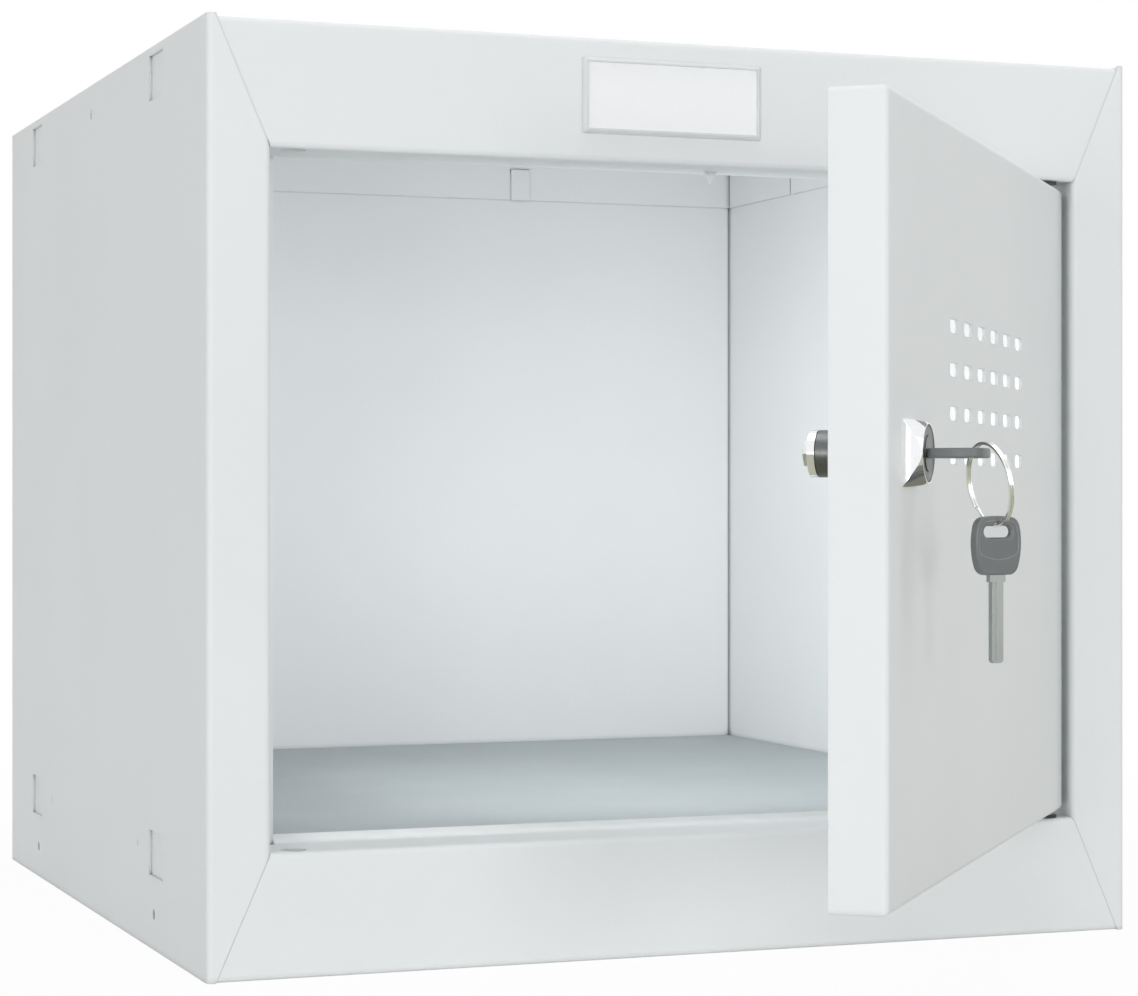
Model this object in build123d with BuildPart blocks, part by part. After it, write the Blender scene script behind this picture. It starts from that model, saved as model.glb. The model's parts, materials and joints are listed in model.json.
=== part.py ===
from build123d import *
import os
from math import cos, radians, sin, sqrt

os.makedirs("parts", exist_ok=True)

# A steel locker box with one inset door on two pivot pins.
# Millimetres. X runs to the right, Y to the back, Z up. The origin is the centre of the base.

# Sheet steel
sheet = 1.2
bend = 2 * sheet  # outside radius of every fold

# Cabinet
cabinet_width = 400.0
cabinet_depth = 414.0
cabinet_height = 368.0
stile_width = 25.0
top_rail_height = 50.0
base_rail_height = 48.5
jamb_depth = 30.5
stile_lip = 9.0
sill_lip = 3.6
mitre_inset = 3.5
side_proud = 1.0
side_rear_flange = 15.0
pan_flange = 22.0
flange_corner_gap = 1.5
flange_slit_width = 1.4
flange_slit_setback = 330.0

# Openings in the side panels
window_length = 24.0
window_height = 18.5
window_front_setback = 86.5
window_rear_setback = 343.5
window_top_drop = 12.5
window_base_rise = 39.0
link_hole_radius = 2.2
link_hole_front_setback = 90.0
link_hole_rear_setback = 340.0
link_hole_rise = 14.5
top_hole_setback = 215.0
top_hole_drop = 13.0

# Hook lugs of the rear panel
lug_width = 10.4
lug_height = 16.6
lug_spacing = 148.0
lug_top_drop = 6.6
lug_clearance = 0.3

# Floor mat
mat_thickness = 3.2
mat_clearance = 0.4

# Label holder on the top rail
label_width = 77.0
label_height = 30.0
label_thickness = 2.0
label_bevel = 1.1
label_rim = 1.8
label_centre_x = -9.2
label_centre_drop = 24.0
label_back = 0.5
card_thickness = 0.3

# Door
door_thickness = 19.5
door_side_gap = 2.0
door_hinge_gap = 4.0
door_end_gap = 3.0
door_rest_angle = 50.6

# Door stop under the top rail
stop_width = 6.5
stop_height = 5.2
stop_left_edge = 13.0
stop_clearance = 0.3

# Pivots
pivot_inset = 5.8
pivot_setback = 8.0
pivot_pin_radius = 3.0
pivot_pin_head_radius = 3.7
pivot_pin_head_height = 2.0
pivot_clearance = 0.05
bush_radius = 5.0
bush_flange_radius = 6.5
bush_flange_thickness = 1.0
bush_length = 6.0
collar_radius = 4.8
collar_clearance = 0.2
bracket_thickness = 2.0
bracket_length = 22.0
bracket_height = 30.0
bracket_side_clearance = 1.5

# Vent slots
vent_columns = 6
vent_rows = 4
vent_length = 16.0
vent_height = 5.0
vent_column_pitch = 25.7
vent_row_pitch = 15.3
vent_rise = 38.0

# Lock
lock_edge_inset = 32.0
lock_rise = 15.4
lock_barrel_radius = 7.8
lock_head_radius = 9.5
lock_head_height = 6.3
rosette_width = 22.0
rosette_height = 6.5
rosette_lean = 1.1
rosette_slope = 41.5
lock_nut_width = 21.0
lock_nut_thickness = 4.0
plug_radius = 6.0
plug_clearance = 0.05
plug_proud = 0.3
plug_shank_width = 7.0
plug_end_gap = 0.3
plug_web = 4.5
keyway_clearance = 0.15
cam_thickness = 2.5
cam_hub_radius = 7.8
cam_width = 15.0
cam_corner_radius = 5.0
cam_reach = 35.0
cam_clearance = 0.4
screw_head_width = 8.0
screw_head_height = 2.2
screw_radius = 2.5
screw_length = 6.0

# Keys
key_thickness = 1.8
key_blade_width = 4.8
key_blade_length = 26.0
key_tip_chamfer = 0.8
key_groove_width = 1.0
key_groove_depth = 0.3
key_shoulder_width = 6.8
key_shoulder_length = 2.3
key_face_gap = 0.3
tang_length = 7.0
bow_width = 20.0
bow_base_width = 15.0
bow_top_width = 17.0
bow_crown = 0.8
bow_length = 19.0
bow_thickness = 3.2
bow_corner_radius = 4.0
bow_edge_round = 0.6
bow_rim = 1.4
bow_recess_depth = 0.3
bow_recess_rise = 5.0
bow_recess_radius = 18.7
bow_slot_length = 12.2
bow_slot_width = 3.7
bow_slot_bevel = 0.6
bow_slot_inset = 5.1
bow_notch_radius = 1.7
bow_notch_depth = 1.2

# Split ring: it turns from the door's width and leans to the side; angles in degrees
ring_radius = 14.0
ring_wire_width = 1.1
ring_coil_height = 0.8
ring_groove = 0.12
ring_turn = 140.2
ring_tilt = -9.4
ring_height_in_slot = 10.1
ring_slot_offset = 1.2
ring_setback = 5.5
spare_key_turn = -14.8
hang_gap = 0.5

# Places worked out from the sizes above
half_width = cabinet_width / 2
half_depth = cabinet_depth / 2
front_y = -half_depth
inside_half_width = half_width - sheet
pan_back_y = half_depth - 2 * sheet
opening_half_width = half_width - stile_width
opening_top = cabinet_height - top_rail_height
top_sheet_z = cabinet_height - side_proud
jamb_back_y = front_y + jamb_depth
lip_back_y = jamb_back_y + sheet
flange_front_y = lip_back_y + flange_corner_gap

door_left = -opening_half_width + door_side_gap
door_right = opening_half_width - door_hinge_gap
door_bottom = base_rail_height + door_end_gap
door_top = opening_top - door_end_gap
door_back_y = front_y + door_thickness
door_centre_x = (door_left + door_right) / 2
door_centre_z = (door_bottom + door_top) / 2
pivot_x = door_right - sheet - pivot_inset
pivot_y = front_y + pivot_setback

lock_x = door_left + lock_edge_inset
lock_z = door_centre_z + lock_rise
plug_face_y = front_y - lock_head_height - plug_proud
keyway_depth = key_blade_length + key_shoulder_length + plug_end_gap
cam_front_y = plug_face_y + keyway_depth + plug_web + screw_length - cam_thickness
cam_back_y = cam_front_y + cam_thickness
tongue_front_y = lip_back_y + cam_clearance
barrel_end_y = cam_front_y - plug_end_gap

bow_base_y = plug_face_y - key_face_gap
bow_end_y = bow_base_y - bow_length
ring_wire_radius = ring_radius - ring_wire_width / 2

# Planes and poses
front_plane = Plane.XZ.offset(-front_y)
left_plane = Plane.YZ.offset(-half_width)
door_turned = Location((pivot_x, pivot_y, 0), (0, 0, door_rest_angle))
door_pose = door_turned * Location((-pivot_x, -pivot_y, 0))


def write_piece(piece, name, pose=Location()):
    """Set a finished piece at its rest pose, label it and write its STEP file."""
    placed = piece.part.moved(pose)
    placed.label = name
    export_step(placed, f"parts/{name}.step")


def plane_facing_front(y):
    """A plane across the cabinet at depth y, with X to the right and Z up."""
    return Plane.XZ.offset(-y)


def folded_sheet(*points):
    """Draw the edge of a sheet folded along the points, with its thickness on their left."""
    with BuildLine(Plane.XY) as outline:
        FilletPolyline(*points, radius=bend)
        offset(amount=sheet, side=Side.LEFT)
    make_face(outline.edges())


def mitre_outline(corner_z, opening_z, side):
    """Draw the region of the front that belongs to a rail at one end of a stile."""
    with BuildLine(Plane.XY) as outline:
        Polyline(
            (side * (half_width - mitre_inset), corner_z),
            (side * opening_half_width, opening_z),
            (0, opening_z),
            (0, corner_z),
            close=True,
        )
    make_face(outline.edges())


def link_hole_outline():
    """Draw the screw holes that one side has, seen along X."""
    with Locations(
        (front_y + link_hole_front_setback, link_hole_rise),
        (front_y + link_hole_rear_setback, link_hole_rise),
        (front_y + top_hole_setback, cabinet_height - top_hole_drop),
    ):
        Circle(link_hole_radius)


# Left side panel: side sheet, rear flange, front stile, jamb and lip in one folded sheet
with BuildPart() as left_side_panel:
    with BuildSketch(Plane.XY):
        folded_sheet(
            (-half_width + side_rear_flange, half_depth),
            (-half_width, half_depth),
            (-half_width, front_y),
            (-opening_half_width, front_y),
            (-opening_half_width, jamb_back_y),
            (-opening_half_width + stile_lip, jamb_back_y),
        )
    extrude(amount=cabinet_height)
    with BuildSketch(front_plane):
        mitre_outline(cabinet_height, opening_top, -1)
        mitre_outline(0, base_rail_height, -1)
    extrude(amount=-(jamb_depth + sheet), mode=Mode.SUBTRACT)
    with BuildSketch(left_plane):
        with Locations((front_y + window_front_setback, 0), (front_y + window_rear_setback, 0)):
            with Locations((0, window_base_rise), (0, cabinet_height - window_top_drop)):
                Rectangle(window_length, window_height)
        link_hole_outline()
    extrude(amount=sheet, mode=Mode.SUBTRACT)

with BuildPart() as right_side_panel:
    mirror(left_side_panel.part, about=Plane.YZ)


def cut_front_corners(corner_z, opening_z, overlap_z):
    """Mitre the ends of a rail and stop its inner flange at the jambs."""
    for side in (-1, 1):
        with BuildSketch(front_plane) as stile_region:
            with BuildLine():
                Polyline(
                    (side * (half_width - mitre_inset), corner_z),
                    (side * opening_half_width, opening_z),
                    (side * opening_half_width, overlap_z),
                    (side * (half_width + sheet), overlap_z),
                    (side * (half_width + sheet), corner_z),
                    close=True,
                )
            make_face()
        extrude(stile_region.sketch, amount=-bend, mode=Mode.SUBTRACT)
        with BuildSketch(plane_facing_front(front_y + bend)) as jamb_region:
            with Locations((side * (half_width + opening_half_width) / 2, opening_z)):
                Rectangle(stile_width, 2 * bend + 2 * sill_lip)
        extrude(jamb_region.sketch, amount=-(jamb_depth + 2 * sheet - bend), mode=Mode.SUBTRACT)


def add_side_flanges(low_z, height):
    """Fold flanges along both sides of a pan, with screw holes through them."""
    length = pan_back_y - sheet - flange_corner_gap - flange_front_y
    with BuildSketch(Plane.XY.offset(low_z)) as flanges:
        for side in (-1, 1):
            with Locations((side * (inside_half_width - sheet / 2), flange_front_y + length / 2)):
                Rectangle(sheet, length)
    extrude(flanges.sketch, amount=height)
    with BuildSketch(left_plane) as holes:
        link_hole_outline()
    extrude(holes.sketch, amount=cabinet_width, mode=Mode.SUBTRACT)


def cut_pivot_holes(low_z):
    """Pierce a rail's inner flange for the pivot bushes, right and left."""
    with BuildSketch(Plane.XY.offset(low_z)) as holes:
        with Locations((pivot_x, pivot_y), (-pivot_x, pivot_y)):
            Circle(bush_radius)
    extrude(holes.sketch, amount=sheet, mode=Mode.SUBTRACT)


# Top panel: top sheet, top rail, head of the opening, flanges and the door stop
with BuildPart() as top_panel:
    with BuildSketch(Plane.YZ):
        folded_sheet(
            (pan_back_y, top_sheet_z - pan_flange),
            (pan_back_y, top_sheet_z),
            (front_y, top_sheet_z),
            (front_y, opening_top),
            (jamb_back_y, opening_top),
        )
    extrude(amount=inside_half_width, both=True)
    cut_front_corners(cabinet_height, opening_top, opening_top - sheet)
    add_side_flanges(top_sheet_z - pan_flange, pan_flange - sheet / 2)
    cut_pivot_holes(opening_top)
    with BuildSketch(Plane.XY.offset(top_sheet_z - pan_flange)):
        with Locations((0, front_y + flange_slit_setback)):
            with GridLocations(2 * inside_half_width, 1, 2, 1):
                Rectangle(4 * sheet, flange_slit_width)
    extrude(amount=pan_flange - sheet, mode=Mode.SUBTRACT)
    lug_slot_height = sheet + 2 * lug_clearance
    with BuildSketch(plane_facing_front(pan_back_y)):
        with Locations((0, cabinet_height - lug_top_drop - sheet / 2)):
            with GridLocations(lug_spacing, 1, 2, 1):
                Rectangle(lug_width + 2 * lug_clearance, lug_slot_height)
    extrude(amount=sheet, mode=Mode.SUBTRACT)
    stop_front_y = door_back_y + stop_clearance
    with BuildSketch(plane_facing_front(stop_front_y)):
        with BuildLine():
            Polyline(
                (stop_left_edge, opening_top + sheet / 2),
                (stop_left_edge + stop_width / 2, opening_top - stop_height),
                (stop_left_edge + stop_width, opening_top + sheet / 2),
                close=True,
            )
        make_face()
    extrude(amount=-sheet)

# Base panel: bottom sheet, bottom rail, sill with its up-stand, and flanges
with BuildPart() as base_panel:
    with BuildSketch(Plane.YZ):
        folded_sheet(
            (jamb_back_y, base_rail_height + sill_lip),
            (jamb_back_y, base_rail_height),
            (front_y, base_rail_height),
            (front_y, 0),
            (pan_back_y, 0),
            (pan_back_y, pan_flange),
        )
    extrude(amount=inside_half_width, both=True)
    cut_front_corners(0, base_rail_height, base_rail_height + sheet)
    add_side_flanges(sheet / 2, pan_flange - sheet / 2)
    cut_pivot_holes(base_rail_height - sheet)
    for side in (-1, 1):
        with BuildSketch(Plane.XY.offset(base_rail_height - bend)):
            with Locations((side * (opening_half_width - stile_lip / 2), jamb_back_y)):
                Rectangle(stile_lip, 2 * bend)
        extrude(amount=bend + 2 * sill_lip, mode=Mode.SUBTRACT)

# Floor pan of the compartment, behind the sill's up-stand
with BuildPart() as floor_panel:
    floor_front_y = lip_back_y
    floor_length = pan_back_y - floor_front_y
    with BuildSketch(Plane.XY.offset(base_rail_height)):
        with Locations((0, floor_front_y + floor_length / 2)):
            Rectangle(2 * inside_half_width, floor_length)
    extrude(amount=-pan_flange)
    with BuildSketch(Plane.XY.offset(base_rail_height - sheet)):
        with Locations((0, floor_front_y + floor_length / 2)):
            Rectangle(2 * (inside_half_width - sheet), floor_length - 2 * sheet)
    extrude(amount=-pan_flange, mode=Mode.SUBTRACT)

# Mat on the compartment floor
with BuildPart() as floor_mat:
    mat_front_y = lip_back_y + mat_clearance
    mat_back_y = pan_back_y - mat_clearance
    with BuildSketch(Plane.XY.offset(base_rail_height)):
        with Locations((0, (mat_front_y + mat_back_y) / 2)):
            Rectangle(2 * (inside_half_width - mat_clearance), mat_back_y - mat_front_y)
    extrude(amount=mat_thickness)

# Rear panel with two lugs hooked over the top panel's rear flange
with BuildPart() as rear_panel:
    with BuildSketch(plane_facing_front(pan_back_y + sheet)):
        with Locations((0, top_sheet_z / 2)):
            Rectangle(2 * (half_width - bend), top_sheet_z)
    extrude(amount=sheet)
    lug_top_z = cabinet_height - lug_top_drop
    with BuildSketch(Plane.XY.offset(lug_top_z - sheet)):
        with Locations((0, pan_back_y - sheet / 2)):
            with GridLocations(lug_spacing, 1, 2, 1):
                Rectangle(lug_width, 3 * sheet)
    extrude(amount=sheet)
    with BuildSketch(plane_facing_front(pan_back_y - 2 * sheet)):
        with Locations((0, lug_top_z - lug_height / 2)):
            with GridLocations(lug_spacing, 1, 2, 1):
                Rectangle(lug_width, lug_height)
    extrude(amount=-sheet)

# Label holder: a bevelled frame with a window, and a bare card behind it
label_centre_z = cabinet_height - label_centre_drop
with BuildPart() as label_holder:
    with BuildSketch(front_plane):
        with Locations((label_centre_x, label_centre_z)):
            Rectangle(label_width, label_height)
    extrude(amount=label_thickness)
    chamfer(label_holder.faces().sort_by(Axis.Y)[0].edges(), label_bevel)
    with BuildSketch(front_plane):
        with Locations((label_centre_x, label_centre_z)):
            Rectangle(label_width - 2 * label_rim, label_height - 2 * label_rim)
    extrude(amount=label_thickness, mode=Mode.SUBTRACT)

with BuildPart() as label_card:
    with BuildSketch(front_plane):
        with Locations((label_centre_x, label_centre_z)):
            Rectangle(label_width - 2 * label_rim, label_height - 2 * label_rim)
    extrude(amount=label_back + card_thickness)

# Flanged plastic bushes in the frame, one above the door and one below it
with BuildPart() as upper_pivot_bush:
    with BuildSketch(Plane.XY.offset(opening_top - bush_flange_thickness)):
        with Locations((pivot_x, pivot_y)):
            Circle(bush_flange_radius)
    extrude(amount=bush_flange_thickness)
    with BuildSketch(Plane.XY.offset(opening_top)):
        with Locations((pivot_x, pivot_y)):
            Circle(bush_radius)
    extrude(amount=bush_length)
    with BuildSketch(Plane.XY.offset(opening_top - bush_flange_thickness)):
        with Locations((pivot_x, pivot_y)):
            Circle(pivot_pin_radius + pivot_clearance)
    extrude(amount=bush_flange_thickness + bush_length, mode=Mode.SUBTRACT)

with BuildPart() as lower_pivot_bush:
    mirror(upper_pivot_bush.part, about=Plane.XY.offset((opening_top + base_rail_height) / 2))

# Door skin: a folded pan, open at the back, with vent slots and the lock hole
with BuildPart() as door_skin:
    with BuildSketch(front_plane):
        with Locations((door_centre_x, door_centre_z)):
            Rectangle(door_right - door_left, door_top - door_bottom)
    extrude(amount=-door_thickness)
    fillet(door_skin.edges().filter_by(Axis.Y), bend)
    fillet(door_skin.faces().sort_by(Axis.Y)[0].edges(), bend)
    offset(amount=-sheet, openings=door_skin.faces().sort_by(Axis.Y)[-1])
    with BuildSketch(front_plane):
        with Locations((door_centre_x, door_centre_z + vent_rise)):
            with GridLocations(vent_column_pitch, vent_row_pitch, vent_columns, vent_rows):
                SlotOverall(vent_length, vent_height)
        with Locations((lock_x, lock_z)):
            Circle(lock_barrel_radius)
    extrude(amount=-sheet, mode=Mode.SUBTRACT)
    with BuildSketch(Plane.XY.offset(door_bottom)):
        with Locations((pivot_x, pivot_y)):
            Circle(pivot_pin_radius)
    extrude(amount=door_top - door_bottom, mode=Mode.SUBTRACT)

# Pivot brackets: angles in the door's two hinge corners
bracket_right = door_right - sheet
bracket_front_y = front_y + sheet + bracket_side_clearance
bracket_depth = door_back_y - bracket_front_y
with BuildPart() as upper_pivot_bracket:
    with BuildSketch(plane_facing_front(bracket_front_y)):
        with BuildLine():
            Polyline(
                (bracket_right - bracket_length, door_top - sheet),
                (bracket_right, door_top - sheet),
                (bracket_right, door_top - sheet - bracket_height),
                (bracket_right - bracket_thickness, door_top - sheet - bracket_height),
                (bracket_right - bracket_thickness, door_top - sheet - bracket_thickness),
                (bracket_right - bracket_length, door_top - sheet - bracket_thickness),
                close=True,
            )
        make_face()
    extrude(amount=-bracket_depth)
    outer_corner = upper_pivot_bracket.edges().filter_by(Axis.Y).group_by(Axis.X)[-1].sort_by(Axis.Z)[-1]
    fillet(outer_corner, sheet)
    with BuildSketch(Plane.XY.offset(door_top - sheet - bracket_thickness)):
        with Locations((pivot_x, pivot_y)):
            Circle(pivot_pin_radius)
    extrude(amount=bracket_thickness, mode=Mode.SUBTRACT)

with BuildPart() as lower_pivot_bracket:
    mirror(upper_pivot_bracket.part, about=Plane.XY.offset(door_centre_z))

# Pivot pins: headed under their brackets. The lower one has a collar that carries the door
pin_tip_z = opening_top + bush_length - sheet
pin_head_z = door_top - sheet - bracket_thickness - pivot_pin_head_height
with BuildPart() as upper_pivot_pin:
    with BuildSketch(Plane.XY.offset(pin_head_z)):
        with Locations((pivot_x, pivot_y)):
            Circle(pivot_pin_head_radius)
    extrude(amount=pivot_pin_head_height)
    with BuildSketch(Plane.XY.offset(pin_head_z)):
        with Locations((pivot_x, pivot_y)):
            Circle(pivot_pin_radius)
    extrude(amount=pin_tip_z - pin_head_z)
    chamfer(upper_pivot_pin.edges().group_by(Axis.Z)[-1], pivot_pin_radius / 4)

collar_bottom_z = base_rail_height + bush_flange_thickness + collar_clearance
with BuildPart() as lower_pivot_pin:
    mirror(upper_pivot_pin.part, about=Plane.XY.offset((opening_top + base_rail_height) / 2))
    with BuildSketch(Plane.XY.offset(collar_bottom_z)):
        with Locations((pivot_x, pivot_y)):
            Circle(collar_radius)
    extrude(amount=door_bottom - collar_bottom_z)

# Lock body: round head on the door's face and a barrel through it
with BuildPart() as lock_body:
    with BuildSketch(front_plane):
        with Locations((lock_x, lock_z)):
            Circle(lock_head_radius)
    extrude(amount=lock_head_height)
    chamfer(lock_body.faces().sort_by(Axis.Y)[0].edges(), sheet / 3)
    with BuildSketch(front_plane):
        with Locations((lock_x, lock_z)):
            Circle(lock_barrel_radius)
    extrude(amount=-(barrel_end_y - front_y))
    with BuildSketch(plane_facing_front(front_y - lock_head_height)):
        with Locations((lock_x, lock_z)):
            Circle(plug_radius + plug_clearance)
    extrude(amount=-(barrel_end_y - front_y + lock_head_height), mode=Mode.SUBTRACT)

# Rosette: a square block whose sides curve in, turned down by a cone, round the lock's head
rosette_half = rosette_width / 2
rosette_front_half = rosette_half - rosette_lean
lock_axis = Axis((lock_x, 0, lock_z), (0, 1, 0))
with BuildPart() as lock_rosette:
    with BuildSketch(Plane.XY.offset(lock_z)):
        with BuildLine():
            rosette_back = Line((lock_x - rosette_half, front_y), (lock_x + rosette_half, front_y))
            rosette_front = Line(
                (lock_x - rosette_front_half, front_y - rosette_height),
                (lock_x + rosette_front_half, front_y - rosette_height),
            )
            TangentArc(rosette_back @ 0, rosette_front @ 0, tangent=(0, -1))
            TangentArc(rosette_back @ 1, rosette_front @ 1, tangent=(0, -1))
        make_face()
    extrude(amount=rosette_half, both=True)
    add(lock_rosette.part.rotate(lock_axis, 90), mode=Mode.INTERSECT)
    with BuildSketch(front_plane):
        with Locations((lock_x, lock_z)):
            Circle(rosette_width / sqrt(2))
    extrude(amount=rosette_height, taper=rosette_slope, mode=Mode.INTERSECT)
    with BuildSketch(front_plane):
        with Locations((lock_x, lock_z)):
            Circle(lock_head_radius)
    extrude(amount=rosette_height, mode=Mode.SUBTRACT)

# Nut that clamps the lock to the door skin from inside
with BuildPart() as lock_nut:
    with BuildSketch(plane_facing_front(front_y + sheet)):
        with Locations((lock_x, lock_z)):
            RegularPolygon(lock_nut_width / 2, 6, major_radius=False)
            Circle(lock_barrel_radius, mode=Mode.SUBTRACT)
    extrude(amount=-lock_nut_thickness)

# Plug: the rotor, with the keyway in front and a square shank for the cam behind
with BuildPart() as lock_plug:
    with BuildSketch(plane_facing_front(plug_face_y)):
        with Locations((lock_x, lock_z)):
            Circle(plug_radius)
    extrude(amount=-(cam_front_y - plug_face_y))
    with BuildSketch(plane_facing_front(cam_front_y)):
        with Locations((lock_x, lock_z)):
            Rectangle(plug_shank_width, plug_shank_width)
    extrude(amount=-cam_thickness)
    with BuildSketch(plane_facing_front(plug_face_y)):
        with Locations((lock_x, lock_z)):
            Rectangle(key_blade_width + 2 * keyway_clearance, key_thickness + 2 * keyway_clearance)
    extrude(amount=-keyway_depth, mode=Mode.SUBTRACT)
    with BuildSketch(plane_facing_front(plug_face_y)):
        with Locations((lock_x, lock_z)):
            Rectangle(key_shoulder_width + 2 * keyway_clearance, key_thickness + 2 * keyway_clearance)
    extrude(amount=-(key_shoulder_length + keyway_clearance), mode=Mode.SUBTRACT)
    with BuildSketch(plane_facing_front(cam_back_y)):
        with Locations((lock_x, lock_z)):
            Circle(screw_radius)
    extrude(amount=screw_length, mode=Mode.SUBTRACT)

# Cam: a hub on the plug, a tongue behind the stile's lip and the step between the two
step_left_x = lock_x + cam_hub_radius
step_right_x = step_left_x + cam_thickness
step_depth = cam_thickness + abs(tongue_front_y - cam_front_y)
with BuildPart() as lock_cam:
    with BuildSketch(plane_facing_front(cam_front_y)):
        with Locations((lock_x, lock_z)):
            Circle(cam_hub_radius)
        with Locations(((lock_x + step_right_x) / 2, lock_z)):
            Rectangle(step_right_x - lock_x, cam_width)
        with Locations((lock_x, lock_z)):
            Rectangle(plug_shank_width, plug_shank_width, mode=Mode.SUBTRACT)
    extrude(amount=-cam_thickness)
    with BuildSketch(plane_facing_front(min(cam_front_y, tongue_front_y))):
        with Locations(((step_left_x + step_right_x) / 2, lock_z)):
            Rectangle(cam_thickness, cam_width)
    extrude(amount=-step_depth)
    with BuildSketch(plane_facing_front(tongue_front_y)) as tongue_outline:
        with Locations(((step_left_x + lock_x + cam_reach) / 2, lock_z)):
            Rectangle(lock_x + cam_reach - step_left_x, cam_width)
        fillet(tongue_outline.vertices().group_by(Axis.X)[-1], cam_corner_radius)
    extrude(amount=-cam_thickness)

# Screw that holds the cam on the plug
with BuildPart() as cam_screw:
    with BuildSketch(plane_facing_front(cam_back_y)):
        with Locations((lock_x, lock_z)):
            RegularPolygon(screw_head_width / 2, 6, major_radius=False)
    extrude(amount=-screw_head_height)
    with BuildSketch(plane_facing_front(cam_back_y)):
        with Locations((lock_x, lock_z)):
            Circle(screw_radius)
    extrude(amount=screw_length)

# Key blade, drawn flat: X across the key, Y towards the end of its bow, bow's base at Y = 0
shoulder_half = key_shoulder_width / 2
blade_half = key_blade_width / 2
blade_tip_y = -key_shoulder_length - key_blade_length
with BuildPart() as key_blade:
    with BuildSketch(Plane.XY):
        with BuildLine():
            Polyline(
                (blade_half, tang_length),
                (blade_half, 0),
                (shoulder_half, 0),
                (shoulder_half, -key_shoulder_length),
                (blade_half, -key_shoulder_length),
                (blade_half, blade_tip_y + key_tip_chamfer),
                (blade_half - key_tip_chamfer, blade_tip_y),
                (key_tip_chamfer - blade_half, blade_tip_y),
                (-blade_half, blade_tip_y + key_tip_chamfer),
                (-blade_half, -key_shoulder_length),
                (-shoulder_half, -key_shoulder_length),
                (-shoulder_half, 0),
                (-blade_half, 0),
                (-blade_half, tang_length),
                close=True,
            )
        make_face()
    extrude(amount=key_thickness / 2, both=True)
    groove_length = key_blade_length - key_tip_chamfer
    for side in (-1, 1):
        with BuildSketch(Plane.XY.offset(side * key_thickness / 2)):
            with Locations((-side * key_groove_width, -key_shoulder_length - groove_length / 2)):
                Rectangle(key_groove_width, groove_length)
        extrude(amount=-side * key_groove_depth, mode=Mode.SUBTRACT)

def bow_face(inset):
    """Draw the outline of the key's bow, moved in from its edge."""
    base_half = bow_base_width / 2 - inset
    middle_half = bow_width / 2 - inset
    top_half = bow_top_width / 2 - inset
    shoulder_y = bow_length - bow_crown - inset
    with BuildLine(Plane.XY) as outline:
        base_edge = Line((-base_half, inset), (base_half, inset))
        right_edge = ThreePointArc(base_edge @ 1, (middle_half, bow_length / 2), (top_half, shoulder_y))
        top_edge = ThreePointArc(right_edge @ 1, (0, bow_length - inset), (-top_half, shoulder_y))
        ThreePointArc(top_edge @ 1, (-middle_half, bow_length / 2), base_edge @ 0)
    make_face(outline.edges())


# Key bow: a moulded grip with a raised rim, a recess that ends in an arc and a slot for the ring
with BuildPart() as key_bow:
    with BuildSketch(Plane.XY) as bow_outline:
        bow_face(0)
        fillet(bow_outline.vertices(), bow_corner_radius)
    extrude(amount=bow_thickness / 2, both=True)
    fillet(key_bow.faces().filter_by(Axis.Z).edges(), bow_edge_round)
    for side in (-1, 1):
        with BuildSketch(Plane.XY.offset(side * bow_thickness / 2)) as recess:
            bow_face(bow_rim)
            fillet(recess.vertices(), bow_corner_radius - bow_rim)
            with Locations((0, bow_recess_rise + bow_recess_radius)):
                Circle(bow_recess_radius, mode=Mode.INTERSECT)
        extrude(amount=-side * bow_recess_depth, mode=Mode.SUBTRACT)
    with BuildSketch(Plane.XY):
        with Locations((0, bow_length - bow_slot_inset)):
            SlotOverall(bow_slot_length, bow_slot_width)
            with Locations((0, bow_slot_width / 2 + bow_notch_depth - bow_notch_radius)):
                Circle(bow_notch_radius)
    extrude(amount=bow_thickness / 2, both=True, mode=Mode.SUBTRACT)
    recess_floors = key_bow.faces().filter_by(Axis.Z).group_by(Axis.Z)[1:3]
    slot_rims = [
        edge
        for level in recess_floors
        for face in level
        for wire in face.inner_wires()
        for edge in wire.edges()
    ]
    chamfer(slot_rims, bow_slot_bevel)
    with BuildSketch(Plane.XY):
        with Locations((0, tang_length / 2)):
            Rectangle(key_blade_width, tang_length)
    extrude(amount=key_thickness / 2, both=True, mode=Mode.SUBTRACT)

# Split ring, drawn flat about its own axis: two coils of wire with a groove between them
with BuildPart() as split_ring:
    with BuildSketch(Plane.XZ) as ring_section:
        with Locations((ring_wire_radius, 0)):
            Rectangle(ring_wire_width, 2 * ring_coil_height)
        fillet(ring_section.vertices(), ring_coil_height / 3)
        with Locations((ring_radius, 0), (ring_radius - ring_wire_width, 0)):
            Rectangle(2 * ring_groove, ring_groove, mode=Mode.SUBTRACT)
    revolve(axis=Axis.Z)

# Poses of the key, the ring and the spare key on the closed door
vertical = Vector(0, 0, 1)


def level_direction(degrees):
    """The level direction turned this far to the front from the door's width."""
    return Vector(cos(radians(degrees)), -sin(radians(degrees)), 0)


key_pose = Location((lock_x, bow_base_y, lock_z), (180, 0, 0))
ring_direction = level_direction(ring_turn)
across_ring = vertical.cross(ring_direction)
ring_up = vertical * cos(radians(ring_tilt)) + across_ring * sin(radians(ring_tilt))
ring_rise = ring_height_in_slot / cos(radians(ring_tilt))
ring_reach = sqrt(ring_wire_radius**2 - ring_rise**2)
ring_crossing = Vector(lock_x + ring_slot_offset, bow_end_y + ring_setback, lock_z)
ring_centre = ring_crossing + ring_direction * ring_reach - ring_up * ring_rise
ring_bottom = ring_centre - ring_up * ring_wire_radius
ring_pose = Plane(origin=ring_centre, x_dir=ring_direction, z_dir=ring_direction.cross(ring_up)).location

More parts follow.
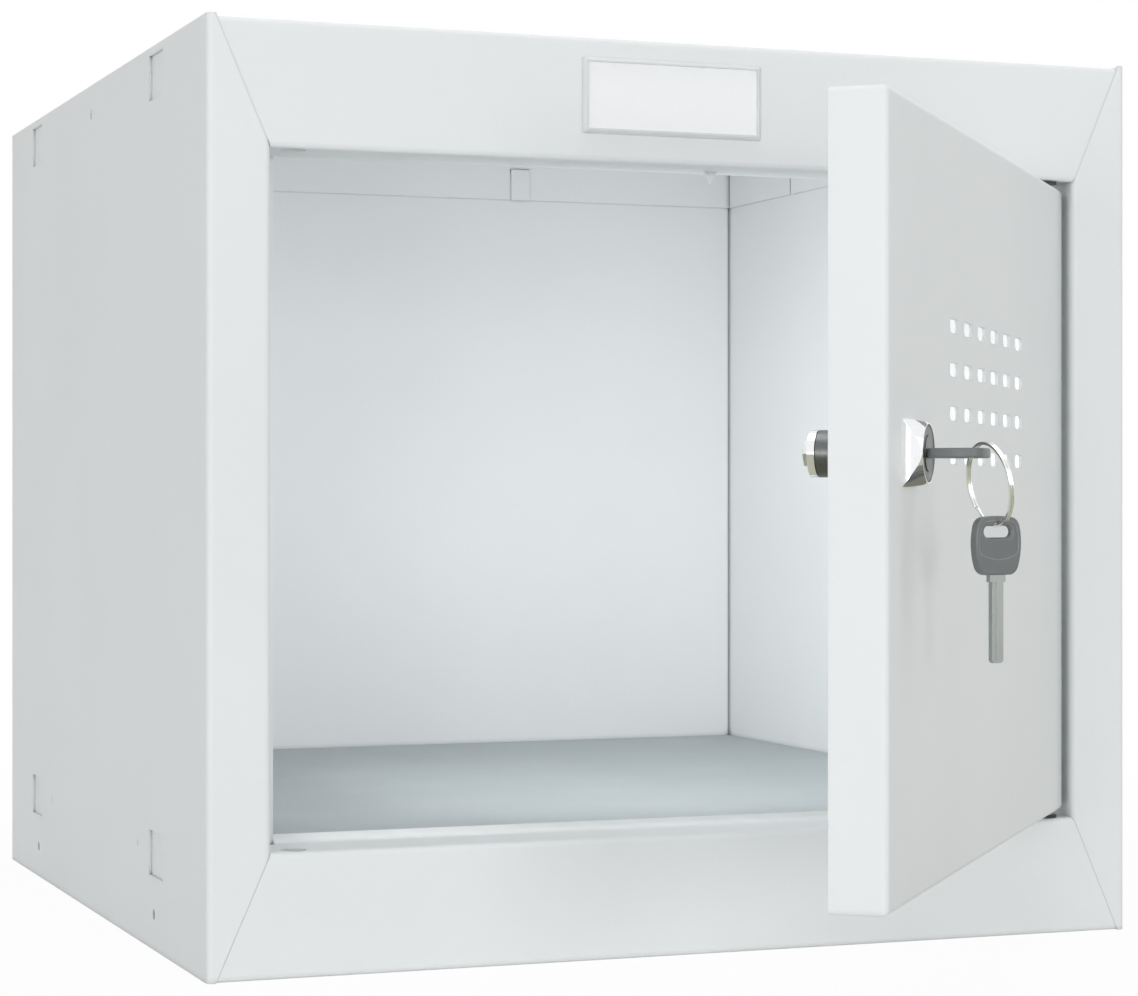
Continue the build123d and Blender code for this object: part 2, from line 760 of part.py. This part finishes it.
spare_face = level_direction(ring_turn + spare_key_turn)
spare_notch_z = ring_bottom.Z + ring_wire_width / 2 + hang_gap
spare_slot_z = spare_notch_z - bow_notch_depth - bow_slot_width / 2
spare_base = Vector(ring_bottom.X, ring_bottom.Y, spare_slot_z - bow_length + bow_slot_inset)
spare_key_pose = Plane(origin=spare_base, x_dir=vertical.cross(spare_face), z_dir=spare_face).location

cabinet_pieces = {
    "left_side_panel": left_side_panel,
    "right_side_panel": right_side_panel,
    "top_panel": top_panel,
    "base_panel": base_panel,
    "floor_panel": floor_panel,
    "floor_mat": floor_mat,
    "rear_panel": rear_panel,
    "label_holder": label_holder,
    "label_card": label_card,
    "upper_pivot_bush": upper_pivot_bush,
    "lower_pivot_bush": lower_pivot_bush,
}
door_pieces = {
    "door_skin": door_skin,
    "upper_pivot_bracket": upper_pivot_bracket,
    "lower_pivot_bracket": lower_pivot_bracket,
    "upper_pivot_pin": upper_pivot_pin,
    "lower_pivot_pin": lower_pivot_pin,
    "lock_body": lock_body,
    "lock_rosette": lock_rosette,
    "lock_nut": lock_nut,
    "lock_plug": lock_plug,
    "lock_cam": lock_cam,
    "cam_screw": cam_screw,
}
for name, piece in cabinet_pieces.items():
    write_piece(piece, name)
for name, piece in door_pieces.items():
    write_piece(piece, name, door_pose)
write_piece(key_blade, "key_blade", door_pose * key_pose)
write_piece(key_bow, "key_bow", door_pose * key_pose)
write_piece(split_ring, "split_ring", door_pose * ring_pose)
write_piece(key_blade, "spare_key_blade", door_pose * spare_key_pose)
write_piece(key_bow, "spare_key_bow", door_pose * spare_key_pose)
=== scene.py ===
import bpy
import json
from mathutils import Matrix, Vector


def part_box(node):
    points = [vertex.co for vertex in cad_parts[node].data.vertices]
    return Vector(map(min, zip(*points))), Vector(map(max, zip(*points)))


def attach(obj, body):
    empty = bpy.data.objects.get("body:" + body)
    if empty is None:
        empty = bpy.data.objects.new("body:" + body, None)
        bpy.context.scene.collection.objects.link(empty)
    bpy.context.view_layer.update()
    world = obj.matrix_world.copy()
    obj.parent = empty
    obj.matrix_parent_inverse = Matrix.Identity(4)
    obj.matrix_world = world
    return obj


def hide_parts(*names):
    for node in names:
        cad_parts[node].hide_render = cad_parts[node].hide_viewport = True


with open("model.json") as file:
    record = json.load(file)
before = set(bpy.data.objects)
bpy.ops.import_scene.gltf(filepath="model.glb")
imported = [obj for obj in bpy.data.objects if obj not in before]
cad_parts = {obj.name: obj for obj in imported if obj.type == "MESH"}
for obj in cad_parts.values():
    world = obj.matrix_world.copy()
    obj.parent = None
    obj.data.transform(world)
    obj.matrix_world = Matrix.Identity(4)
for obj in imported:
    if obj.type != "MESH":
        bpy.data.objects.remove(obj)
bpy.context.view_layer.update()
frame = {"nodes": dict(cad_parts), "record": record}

import json
import math

import bpy
from mathutils import Vector

# Metres throughout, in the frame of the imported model: X to the right, Y to the back, Z up.

# Camera
CAMERA_PLACE = (-0.4683, -1.2978, 0.1847)
CAMERA_TURN = -20.82
CAMERA_LENS = 93.23
CAMERA_SENSOR = 36
CAMERA_SHIFT = -0.0016

# Light
AMBIENT = 0.30
AMBIENT_COLOUR = (0.965, 0.99, 1.0, 1)
WHITE = (1, 1, 1, 1)
LIGHT_TARGET = (0, -0.1, 0.18)

# Lamp in the door opening, which faces the rear, and lamp inside, which faces the right wall
OPENING_LAMP_X = 0.015
OPENING_LAMP_SETBACK = 0.002
OPENING_LAMP_RISE = 0.195
WALL_LAMP_PLACE = (-0.12, -0.02, 0.19)
WALL_LAMP_REACH = 0.4
WALL_LAMP_TARGET_RISE = 0.17

# Floor: seen as white from WHITE_BY on, and a little short of it near the box for the shadow
FLOOR_SIZE = 40.0
FLOOR_COLOUR = (0.87, 0.87, 0.855, 1)
FLOOR_MOTTLE = 0.004
FLOOR_ROUGHNESS = (0.75, 0.9)
FLOOR_WHITENING = 0.95
WHITE_FROM = 0.35
WHITE_BY = 0.9

# The values of a noise texture that count as its low and its high end
NOISE_RANGE = (0.3, 0.7)

# Powder coat
COAT_LOW = (0.81, 0.83, 0.835)
COAT_HIGH = (0.83, 0.85, 0.855)
COAT_DRIFT = 0.09
COAT_FLECK = 0.06
COAT_GRAIN = 0.0007
COAT_GRAIN_HEIGHT = 0.00004
COAT_PEEL = 0.0026
COAT_PEEL_HEIGHT = 0.00008
COAT_EDGE_RADIUS = 0.0004
COAT_ROUGHNESS = (0.42, 0.56)
# Darker tone of the mitre lines, and painted shade inside the weld dents
COAT_DENT = (0.68, 0.71, 0.71, 1)
# Painted shade: seams, gaps, slits and cut-out edges are darkened by how closed in they are
SEAM_SHADE = (0.28, 0.295, 0.295, 1)
SEAM_REACH = 0.005
SEAM_OPENNESS = (0.6, 0.28)

# Mitred joints at the corners of the front frame, in the front plane
MITRE_WIDTH = 0.00045
MITRE_DEPTH = 0.0001
MITRE_INSET = 0.0035
STILE_WIDTH = 0.025
TOP_RAIL_HEIGHT = 0.050
BASE_RAIL_HEIGHT = 0.0485
BEND = 0.0024

# Weld spots at the foot of each side panel, measured from its front and its base
WELD_SETBACKS = (0.120, 0.306)
WELD_RISE = 0.0405
WELD_RADIUS = 0.0017
WELD_FLAT_SHARE = 0.8
WELD_DEPTH = 0.0002

# Rubber liner and paper card
RUBBER_DRIFT = 0.05
RUBBER_PEBBLE = 0.0009
RUBBER_PEBBLE_HEIGHT = 0.0001
RUBBER_ROUGHNESS = (0.5, 0.7)
PAPER_FIBRE = 0.0008
PAPER_FIBRE_HEIGHT = 0.00002
PAPER_ROUGHNESS = (0.7, 0.85)

# Moulded plastic
PLASTIC_DRIFT = 0.012
PLASTIC_GRAIN = 0.0005
PLASTIC_GRAIN_HEIGHT = 0.00004
PLASTIC_EDGE_RADIUS = 0.0002
PLASTIC_ROUGHNESS_SWING = 0.06
# Lighter sharp edges on the key bows: partly edge wear, partly a painted highlight
WORN_AND_HIGHLIT_RADIUS = 0.0006
WORN_AND_HIGHLIT_AGREEMENT = (0.98, 0.8)

# Metal
METAL_DRIFT = 0.008
METAL_BRUSH = 0.0004
METAL_BRUSH_HEIGHT = 0.00001
METAL_EDGE_RADIUS = 0.00015
METAL_ROUGHNESS_SHARES = (0.85, 1.15)

# Split ring: a flattened wire wound twice round, with one step from coil to coil
WIRE_WIDTH = 0.0011
WIRE_HEIGHT = 0.00076
WIRE_POINTS = 20
WIRE_SQUARENESS = 0.5
COIL_LEVEL = 0.0004
JOG_SPAN = math.radians(40)
JOG_PLACE = math.radians(235)
RING_STEPS = 320
TAPER_START = 0.55
TAPER_STEP = 0.15

# Places on the cabinet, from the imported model
side_low, side_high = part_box("left_side_panel")
side_x = side_low.x
front_y = side_low.y
top_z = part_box("top_panel")[1].z


def make_camera():
    """The photograph's viewpoint: level, and turned to the right of the box's front."""
    data = bpy.data.cameras.new("camera")
    data.sensor_width = CAMERA_SENSOR
    data.lens = CAMERA_LENS
    data.shift_y = CAMERA_SHIFT
    camera = bpy.data.objects.new("camera", data)
    camera.location = CAMERA_PLACE
    camera.rotation_euler = (math.radians(90), 0, math.radians(CAMERA_TURN))
    bpy.context.scene.collection.objects.link(camera)
    bpy.context.scene.camera = camera


def add(tree, kind, inputs=None, **settings):
    """A new node with its settings, and its inputs given as values or as sockets to link."""
    made = tree.nodes.new(kind)
    for name, value in settings.items():
        setattr(made, name, value)
    for name, value in (inputs or {}).items():
        socket = made.inputs[name]
        if isinstance(value, bpy.types.NodeSocket):
            tree.links.new(value, socket)
        else:
            socket.default_value = value
    return made


def calculate(tree, operation, *values):
    """The number that a Math node makes of these numbers."""
    return add(tree, "ShaderNodeMath", dict(enumerate(values)), operation=operation).outputs[0]


def measure(tree, operation, *vectors):
    """The number that a Vector Math node makes of these vectors, such as a distance."""
    return add(tree, "ShaderNodeVectorMath", dict(enumerate(vectors)), operation=operation).outputs["Value"]


def rescale(tree, value, old, new):
    """The value carried from the old range to the new one, and held inside it."""
    ends = {"From Min": old[0], "From Max": old[1], "To Min": new[0], "To Max": new[1]}
    return add(tree, "ShaderNodeMapRange", {"Value": value, **ends}).outputs["Result"]


def mix_colours(tree, share, first, second, blend="MIX"):
    """The first colour, with this share of the second one over it."""
    colours = {"Fac": share, "Color1": first, "Color2": second}
    return add(tree, "ShaderNodeMixRGB", colours, blend_type=blend).outputs["Color"]


def background_rays(tree):
    """1 for a ray that sees the background by eye, mirror or glass, and 0 for one that lights."""
    path = add(tree, "ShaderNodeLightPath").outputs
    seen = calculate(tree, "MAXIMUM", path["Is Camera Ray"], path["Is Glossy Ray"])
    return calculate(tree, "MAXIMUM", seen, path["Is Transmission Ray"])


def make_world():
    """Soft light from all round, in front of a plain white background."""
    world = bpy.data.worlds.new("studio")
    world.use_nodes = True
    tree = world.node_tree
    tree.nodes.clear()
    light = add(tree, "ShaderNodeBackground", {"Color": AMBIENT_COLOUR, "Strength": AMBIENT})
    white = add(tree, "ShaderNodeBackground", {"Color": WHITE, "Strength": 1.0})
    parts = {0: background_rays(tree), 1: light.outputs[0], 2: white.outputs[0]}
    mix = add(tree, "ShaderNodeMixShader", parts)
    add(tree, "ShaderNodeOutputWorld", {"Surface": mix.outputs[0]})
    bpy.context.scene.world = world


def make_softbox(name, place, size, power, height=None, target=LIGHT_TARGET, spread=180):
    """An area lamp that faces the target. The camera doesn't see it."""
    data = bpy.data.lights.new(name, "AREA")
    data.shape = "RECTANGLE"
    data.size = size
    data.size_y = height or size
    data.energy = power
    data.spread = math.radians(spread)
    lamp = bpy.data.objects.new(name, data)
    lamp.location = place
    lamp.rotation_euler = (Vector(target) - Vector(place)).to_track_quat("-Z", "Y").to_euler()
    lamp.visible_camera = False
    bpy.context.scene.collection.objects.link(lamp)


def light_studio():
    """Large soft lamps all round the box."""
    make_softbox("left_light", place=(-2.0, -2.4, 0.3), size=0.7, power=13)
    make_softbox("front_light", place=(0, -3.2, 0.3), size=0.7, power=14.8)
    make_softbox("camera_light", place=(-1.13, -2.98, 0.9), size=0.9, power=9.5)
    make_softbox("side_light", place=(-3.2, -0.2, 1.0), size=2.0, power=8.5)
    make_softbox("right_light", place=(2.6, -2.4, 1.2), size=2.0, power=8.4)
    make_softbox("top_light", place=(0, -0.3, 3.0), size=2.5, power=40)
    make_softbox("rear_light", place=(1.2, 3.0, 1.4), size=2.0, power=24)


def light_compartment():
    """Two weak lamps that stand in for the light a real studio throws into the compartment."""
    opening = (OPENING_LAMP_X, front_y + OPENING_LAMP_SETBACK, OPENING_LAMP_RISE)
    rearwards = (OPENING_LAMP_X, 0, OPENING_LAMP_RISE)
    make_softbox("compartment_light", opening, size=0.26, power=0.36, height=0.12, target=rearwards,
                 spread=165)
    rightwards = (side_high.x + WALL_LAMP_REACH, WALL_LAMP_PLACE[1], WALL_LAMP_TARGET_RISE)
    make_softbox("wall_light", WALL_LAMP_PLACE, size=0.2, power=0.155, target=rightwards, spread=120)


def make_panel(name, centre, width, depth):
    """A level rectangle, as a new object."""
    x, y, z = centre
    mesh = bpy.data.meshes.new(name)
    signs = ((-1, -1), (1, -1), (1, 1), (-1, 1))
    corners = [(x + i * width / 2, y + j * depth / 2, z) for i, j in signs]
    mesh.from_pydata(corners, [], [(0, 1, 2, 3)])
    panel = bpy.data.objects.new(name, mesh)
    bpy.context.scene.collection.objects.link(panel)
    return panel


def make_reflector(name, centre, width, depth, colour):
    """A card that shows only in reflections, as a photographer's card does."""
    card = make_panel(name, centre, width, depth)
    card.visible_camera = False
    card.visible_diffuse = False
    card.visible_transmission = False
    card.visible_shadow = False
    material = bpy.data.materials.new(name)
    material.use_nodes = True
    tree = material.node_tree
    tree.nodes.clear()
    glow = add(tree, "ShaderNodeEmission", {"Color": (*colour, 1), "Strength": 1.0})
    add(tree, "ShaderNodeOutputMaterial", {"Surface": glow.outputs[0]})
    card.data.materials.append(material)


def place_reflectors():
    """The cards that give the chrome its darker bands."""
    make_reflector("front_card", (-0.3, -1.73, 0.004), width=3.4, depth=2.95, colour=(0.50, 0.50, 0.40))
    make_reflector("side_card", (1.0, 0.15, 0.005), width=1.5, depth=1.6, colour=(0.65, 0.65, 0.52))
    make_reflector("floor_strip", (0.2, -0.42, 0.006), width=0.1, depth=0.6, colour=(0.20, 0.20, 0.17))
    make_reflector("high_strip", (1.75, 0.0, 1.6), width=0.5, depth=3.0, colour=(0.32, 0.33, 0.33))


def new_material(name, values=None):
    """A material with one shader, its constant values and the row frame's coordinates."""
    material = bpy.data.materials.new(name)
    material.use_nodes = True
    tree = material.node_tree
    shader = tree.nodes["Principled BSDF"]
    for socket, value in (values or {}).items():
        shader.inputs[socket].default_value = value
    place = add(tree, "ShaderNodeTexCoord").outputs["Object"]
    return material, tree, shader, place


def connect(tree, shader, sockets):
    """Link each socket to the shader's input of that name."""
    for name, socket in sockets.items():
        tree.links.new(socket, shader.inputs[name])


def noise(tree, place, size, detail=2.0, stretch=None):
    """Noise with features of about this size, drawn out along an axis whose stretch is under 1."""
    if stretch is not None:
        scaled = add(tree, "ShaderNodeVectorMath", {0: place, 1: stretch}, operation="MULTIPLY")
        place = scaled.outputs["Vector"]
    made = add(tree, "ShaderNodeTexNoise", {"Vector": place, "Scale": 1 / size, "Detail": detail})
    return made.outputs["Fac"]


def noise_colour(tree, factor, low, high):
    """A colour that goes from low to high with the noise."""
    ramp = add(tree, "ShaderNodeValToRGB", {"Fac": factor})
    for element, position, colour in zip(ramp.color_ramp.elements, NOISE_RANGE, (low, high)):
        element.position = position
        element.color = (*colour, 1)
    return ramp.outputs["Color"]


def add_bump(tree, height, distance, strength, under=None):
    """Relief of this distance where the height is 1, on top of an earlier normal."""
    inputs = {"Height": height, "Distance": distance, "Strength": strength}
    if under is not None:
        inputs["Normal"] = under
    return add(tree, "ShaderNodeBump", inputs).outputs["Normal"]


def soft_edges(tree, radius):
    """The normal of a surface whose sharp edges are rounded to this radius."""
    return add(tree, "ShaderNodeBevel", {"Radius": radius}, samples=4).outputs["Normal"]


def worn_and_highlit_edges(tree, radius):
    """1 along sharp edges, within this radius of them, and 0 on open faces: where edges are lighter, partly
    from wear and partly as a painted highlight.
    """
    rounded = soft_edges(tree, radius)
    flat = add(tree, "ShaderNodeNewGeometry").outputs["Normal"]
    return rescale(tree, measure(tree, "DOT_PRODUCT", rounded, flat), WORN_AND_HIGHLIT_AGREEMENT, (0.0, 1.0))


def seam_shade_mask(tree, reach):
    """1 deep in a seam or gap that is narrow next to this reach, and 0 on open faces; it places painted
    shade.
    """
    openness = add(tree, "ShaderNodeAmbientOcclusion", {"Distance": reach}, samples=6).outputs["AO"]
    return rescale(tree, openness, SEAM_OPENNESS, (0.0, 1.0))


def dent_mask(tree, place, centres, radius):
    """1 inside round dents at these places, falling to 0 at their edges."""
    flat_radius = radius * WELD_FLAT_SHARE
    result = None
    for centre in centres:
        away = measure(tree, "DISTANCE", place, centre)
        mask = rescale(tree, away, (flat_radius, radius), (1.0, 0.0))
        result = mask if result is None else calculate(tree, "MAXIMUM", result, mask)
    return result


def mitre_mask(tree, place, start, end):
    """1 on a thin line across the front plane, and on its mirror image on the other side.

    Start and end are each a distance from the middle and a height.
    """
    run = Vector((end[0] - start[0], 0, end[1] - start[1])).normalized()
    across = (-run.z, 0, run.x)
    halves = add(tree, "ShaderNodeVectorMath", {0: place}, operation="ABSOLUTE").outputs["Vector"]
    level = measure(tree, "DOT_PRODUCT", halves, across)
    line_level = start[0] * across[0] + start[1] * across[2]
    away = calculate(tree, "ABSOLUTE", calculate(tree, "SUBTRACT", level, line_level))
    line = rescale(tree, away, (MITRE_WIDTH / 4, MITRE_WIDTH / 2), (1.0, 0.0))
    depth = add(tree, "ShaderNodeSeparateXYZ", {0: place}).outputs["Y"]
    at_front = calculate(tree, "LESS_THAN", depth, front_y + BEND)
    return calculate(tree, "MULTIPLY", line, at_front)


def powder_coat(name, dents=(), mitres=(), paint_seam_shade=True):
    """Light grey powder coat: a fine orange peel, a slight drift of tone and softened edges, with painted
    shade in seams, gaps and weld dents and darker mitre lines where asked for.
    """
    material, tree, shader, place = new_material(name, {"Specular IOR Level": 0.4})
    drift = noise(tree, place, COAT_DRIFT)
    grain = noise(tree, place, COAT_GRAIN, detail=3.0)
    peel = noise(tree, place, COAT_PEEL, detail=1.0)
    tone = noise_colour(tree, drift, COAT_LOW, COAT_HIGH)
    colour = mix_colours(tree, COAT_FLECK, tone, grain, blend="OVERLAY")
    normal = add_bump(tree, peel, COAT_PEEL_HEIGHT, 0.5, soft_edges(tree, COAT_EDGE_RADIUS))
    normal = add_bump(tree, grain, COAT_GRAIN_HEIGHT, 0.5, normal)
    if paint_seam_shade:
        # painted shade in seams and gaps, from how closed in each point is
        colour = mix_colours(tree, seam_shade_mask(tree, SEAM_REACH), colour, SEAM_SHADE)
    for start, end in mitres:
        line = mitre_mask(tree, place, start, end)
        normal = add_bump(tree, line, -MITRE_DEPTH, 0.6, normal)
        colour = mix_colours(tree, line, colour, COAT_DENT)
    if dents:
        mask = dent_mask(tree, place, dents, WELD_RADIUS)
        normal = add_bump(tree, mask, -WELD_DEPTH, 1.0, normal)
        # painted shade: the weld dents are darker
        colour = mix_colours(tree, mask, colour, COAT_DENT)
    roughness = rescale(tree, grain, NOISE_RANGE, COAT_ROUGHNESS)
    connect(tree, shader, {"Base Color": colour, "Roughness": roughness, "Normal": normal})
    return material


def rubber_mat():
    """Matt grey liner with a fine pebble."""
    material, tree, shader, place = new_material("rubber_mat", {"Specular IOR Level": 0.3})
    drift = noise(tree, place, RUBBER_DRIFT)
    pebble = noise(tree, place, RUBBER_PEBBLE, detail=3.0)
    colour = noise_colour(tree, drift, (0.455, 0.495, 0.51), (0.48, 0.52, 0.535))
    roughness = rescale(tree, pebble, NOISE_RANGE, RUBBER_ROUGHNESS)
    normal = add_bump(tree, pebble, RUBBER_PEBBLE_HEIGHT, 0.6)
    connect(tree, shader, {"Base Color": colour, "Roughness": roughness, "Normal": normal})
    return material


def paper():
    """White card with faint fibres."""
    material, tree, shader, place = new_material("paper_card", {"Specular IOR Level": 0.25})
    fibre = noise(tree, place, PAPER_FIBRE, detail=4.0, stretch=(1.0, 1.0, 0.3))
    colour = noise_colour(tree, fibre, (0.95, 0.955, 0.965), (0.975, 0.98, 0.985))
    roughness = rescale(tree, fibre, NOISE_RANGE, PAPER_ROUGHNESS)
    normal = add_bump(tree, fibre, PAPER_FIBRE_HEIGHT, 0.5)
    connect(tree, shader, {"Base Color": colour, "Roughness": roughness, "Normal": normal})
    return material


def plastic(name, low, high, roughness, wear_and_highlight_colour=None):
    """Moulded plastic between two tones, with a fine grain and soft edges, and its sharp edges in a lighter
    colour if one is given: partly wear, partly a painted highlight.
    """
    material, tree, shader, place = new_material(name)
    drift = noise(tree, place, PLASTIC_DRIFT)
    grain = noise(tree, place, PLASTIC_GRAIN)
    colour = noise_colour(tree, drift, low, high)
    if wear_and_highlight_colour is not None:
        # sharp edges lighter: partly wear, partly a painted highlight
        colour = mix_colours(tree, worn_and_highlit_edges(tree, WORN_AND_HIGHLIT_RADIUS), colour, (*wear_and_highlight_colour, 1))
    ends = (roughness - PLASTIC_ROUGHNESS_SWING, roughness + PLASTIC_ROUGHNESS_SWING)
    varied = rescale(tree, grain, NOISE_RANGE, ends)
    normal = add_bump(tree, grain, PLASTIC_GRAIN_HEIGHT, 0.5, soft_edges(tree, PLASTIC_EDGE_RADIUS))
    connect(tree, shader, {"Base Color": colour, "Roughness": varied, "Normal": normal})
    return material


def metal(name, low, high, roughness, stretch, brush_height=METAL_BRUSH_HEIGHT):
    """Metal between two tones, brushed along the axis that stretch makes long."""
    material, tree, shader, place = new_material(name, {"Metallic": 1.0})
    brush = noise(tree, place, METAL_BRUSH, detail=3.0, stretch=stretch)
    drift = noise(tree, place, METAL_DRIFT)
    colour = noise_colour(tree, brush, low, high)
    ends = [roughness * share for share in METAL_ROUGHNESS_SHARES]
    varied = rescale(tree, drift, NOISE_RANGE, ends)
    normal = add_bump(tree, brush, brush_height, 0.5, soft_edges(tree, METAL_EDGE_RADIUS))
    connect(tree, shader, {"Base Color": colour, "Roughness": varied, "Normal": normal})
    return material


def make_floor():
    """A plain pale floor that the camera sees as nearly white, with the box's shadow on it."""
    floor = make_panel("floor", (0, 0, 0), FLOOR_SIZE, FLOOR_SIZE)
    values = {"Base Color": FLOOR_COLOUR, "Specular IOR Level": 0.1}
    material, tree, shader, place = new_material("floor_paper", values)
    mottle = noise(tree, place, FLOOR_MOTTLE, detail=3.0)
    connect(tree, shader, {"Roughness": rescale(tree, mottle, NOISE_RANGE, FLOOR_ROUGHNESS)})
    glow = add(tree, "ShaderNodeEmission", {"Color": WHITE, "Strength": 1.0})
    white = rescale(tree, measure(tree, "LENGTH", place), (WHITE_FROM, WHITE_BY), (FLOOR_WHITENING, 1.0))
    share = calculate(tree, "MULTIPLY", background_rays(tree), white)
    mix = add(tree, "ShaderNodeMixShader", {0: share, 1: shader.outputs[0], 2: glow.outputs[0]})
    tree.links.new(mix.outputs[0], tree.nodes["Material Output"].inputs["Surface"])
    floor.data.materials.append(material)


def squared_off(value):
    """A cosine or sine raised towards 1, so that the two draw a rounded rectangle."""
    return math.copysign(abs(value) ** WIRE_SQUARENESS, value)


def wire_section():
    """The rounded outline of the ring's flattened wire: outwards from the ring, and along its axis."""
    points = []
    for step in range(WIRE_POINTS):
        angle = 2 * math.pi * step / WIRE_POINTS
        wide = squared_off(math.cos(angle)) * WIRE_WIDTH / 2
        tall = squared_off(math.sin(angle)) * WIRE_HEIGHT / 2
        points.append((wide, tall))
    return points


def coil_level(turned):
    """How far along the axis the wire lies after this much turning: one level, a step, the other."""
    share = (turned - 2 * math.pi + JOG_SPAN / 2) / JOG_SPAN
    share = min(max(share, 0.0), 1.0)
    return COIL_LEVEL * (2 * share * share * (3 - 2 * share) - 1)


def coil_vertices(centre, along, up, axis, radius):
    """The wire's outline at each step of its two turns, smaller at both ends."""
    section = wire_section()
    first = JOG_SPAN / 2
    last = 4 * math.pi - JOG_SPAN / 2
    vertices = []
    for step in range(RING_STEPS + 1):
        turned = first + (last - first) * step / RING_STEPS
        angle = JOG_PLACE + turned
        outward = along * math.cos(angle) + up * math.sin(angle)
        from_end = min(step, RING_STEPS - step)
        taper = min(1.0, TAPER_START + TAPER_STEP * from_end)
        for wide, tall in section:
            reach = radius + wide * taper
            vertices.append(centre + outward * reach + axis * (coil_level(turned) + tall * taper))
    return vertices


def coil_faces():
    """The wire's skin between one outline and the next, and a cap at each end."""
    faces = [tuple(reversed(range(WIRE_POINTS)))]
    for step in range(RING_STEPS):
        base = step * WIRE_POINTS
        ahead = base + WIRE_POINTS
        for i in range(WIRE_POINTS):
            j = (i + 1) % WIRE_POINTS
            faces.append((base + i, base + j, ahead + j, ahead + i))
    faces.append(tuple(RING_STEPS * WIRE_POINTS + i for i in range(WIRE_POINTS)))
    return faces


def make_split_ring(material):
    """Two coils of flattened wire with tapered ends, in the place of the plain ring."""
    joints = {joint["name"]: joint for joint in frame["record"]["behaviour"]["joints"]}
    hang = joints["spare_key_swing"]
    low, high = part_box("split_ring")
    centre = (low + high) / 2
    bottom = Vector(hang["pos_m"])
    along = Vector(hang["axis"]).normalized()
    up = (centre - bottom).normalized()
    radius = (centre - bottom).length
    mesh = bpy.data.meshes.new("split_ring_coil")
    mesh.from_pydata(coil_vertices(centre, along, up, along.cross(up), radius), [], coil_faces())
    mesh.materials.append(material)
    for polygon in mesh.polygons:
        polygon.use_smooth = len(polygon.vertices) == 4
    ring = bpy.data.objects.new("split_ring_coil", mesh)
    bpy.context.scene.collection.objects.link(ring)
    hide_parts("split_ring")
    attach(ring, "ring")


def dress(material, *nodes):
    """Give CAD nodes a material."""
    for name in nodes:
        for slot in frame["nodes"][name].material_slots:
            slot.material = material


def weld_places(x):
    """The weld spots on the side panel whose outer face is at x."""
    return [(x, front_y + setback, WELD_RISE) for setback in WELD_SETBACKS]


def dress_cabinet():
    """Powder coat with the frame's mitre lines, the liner, the label holder and the bushes."""
    corner_x = -side_x - MITRE_INSET
    opening_x = -side_x - STILE_WIDTH
    top_mitre = ((corner_x, top_z), (opening_x, top_z - TOP_RAIL_HEIGHT))
    base_mitre = ((corner_x, 0), (opening_x, BASE_RAIL_HEIGHT))
    both = (top_mitre, base_mitre)
    coat = powder_coat("powder_coat")
    dress(coat, "floor_panel", "rear_panel", "upper_pivot_bracket", "lower_pivot_bracket")
    dress(powder_coat("powder_coat_door", paint_seam_shade=False), "door_skin")
    dress(powder_coat("powder_coat_top", mitres=[top_mitre]), "top_panel")
    dress(powder_coat("powder_coat_base", mitres=[base_mitre], paint_seam_shade=False), "base_panel")
    dress(powder_coat("powder_coat_left", weld_places(side_x), both), "left_side_panel")
    dress(powder_coat("powder_coat_right", weld_places(-side_x), both), "right_side_panel")
    dress(rubber_mat(), "floor_mat")
    holder = plastic("holder_plastic", (0.72, 0.735, 0.74), (0.76, 0.775, 0.78), roughness=0.36)
    dress(holder, "label_holder")
    dress(paper(), "label_card")
    nylon = plastic("bush_nylon", (0.02, 0.02, 0.02), (0.03, 0.03, 0.03), roughness=0.4)
    dress(nylon, "upper_pivot_bush", "lower_pivot_bush")


def dress_lock():
    """Plated pins, nut and screw, a dark lock, and a chrome rosette and cam."""
    plated = metal("plated_steel", (0.55, 0.56, 0.56), (0.68, 0.69, 0.69), roughness=0.3,
                   stretch=(1.0, 1.0, 0.1))
    dress(plated, "upper_pivot_pin", "lower_pivot_pin", "lock_nut", "cam_screw")
    lock_dark = metal("lock_dark", (0.125, 0.13, 0.13), (0.165, 0.172, 0.172), roughness=0.38,
                      stretch=(1.0, 1.0, 0.05))
    dress(lock_dark, "lock_body", "lock_plug")
    chrome = metal("chrome_plate", (0.86, 0.87, 0.88), (0.92, 0.93, 0.94), roughness=0.07,
                   stretch=(1.0, 1.0, 0.2), brush_height=0.000002)
    dress(chrome, "lock_rosette", "lock_cam")


def dress_keys():
    """Nickel blades, plastic bows and the bright ring that joins them."""
    blades = metal("key_nickel", (0.37, 0.395, 0.39), (0.42, 0.445, 0.44), roughness=0.34,
                   stretch=(1.0, 1.0, 0.05))
    dress(blades, "key_blade", "spare_key_blade")
    bright = metal("ring_nickel", (0.84, 0.84, 0.81), (0.92, 0.92, 0.90), roughness=0.14,
                   stretch=(0.3, 0.3, 0.3), brush_height=0.000003)
    make_split_ring(bright)
    dress(bright, "split_ring")
    # the bows' sharp edges are lighter: partly wear, partly a painted highlight
    bows = plastic("bow_plastic", (0.14, 0.15, 0.152), (0.155, 0.165, 0.167), roughness=0.42,
                   wear_and_highlight_colour=(0.36, 0.38, 0.385))
    dress(bows, "key_bow", "spare_key_bow")


make_camera()
make_world()
light_studio()
light_compartment()
make_floor()
place_reflectors()
dress_cabinet()
dress_lock()
dress_keys()
bpy.context.scene.view_settings.view_transform = "Standard"
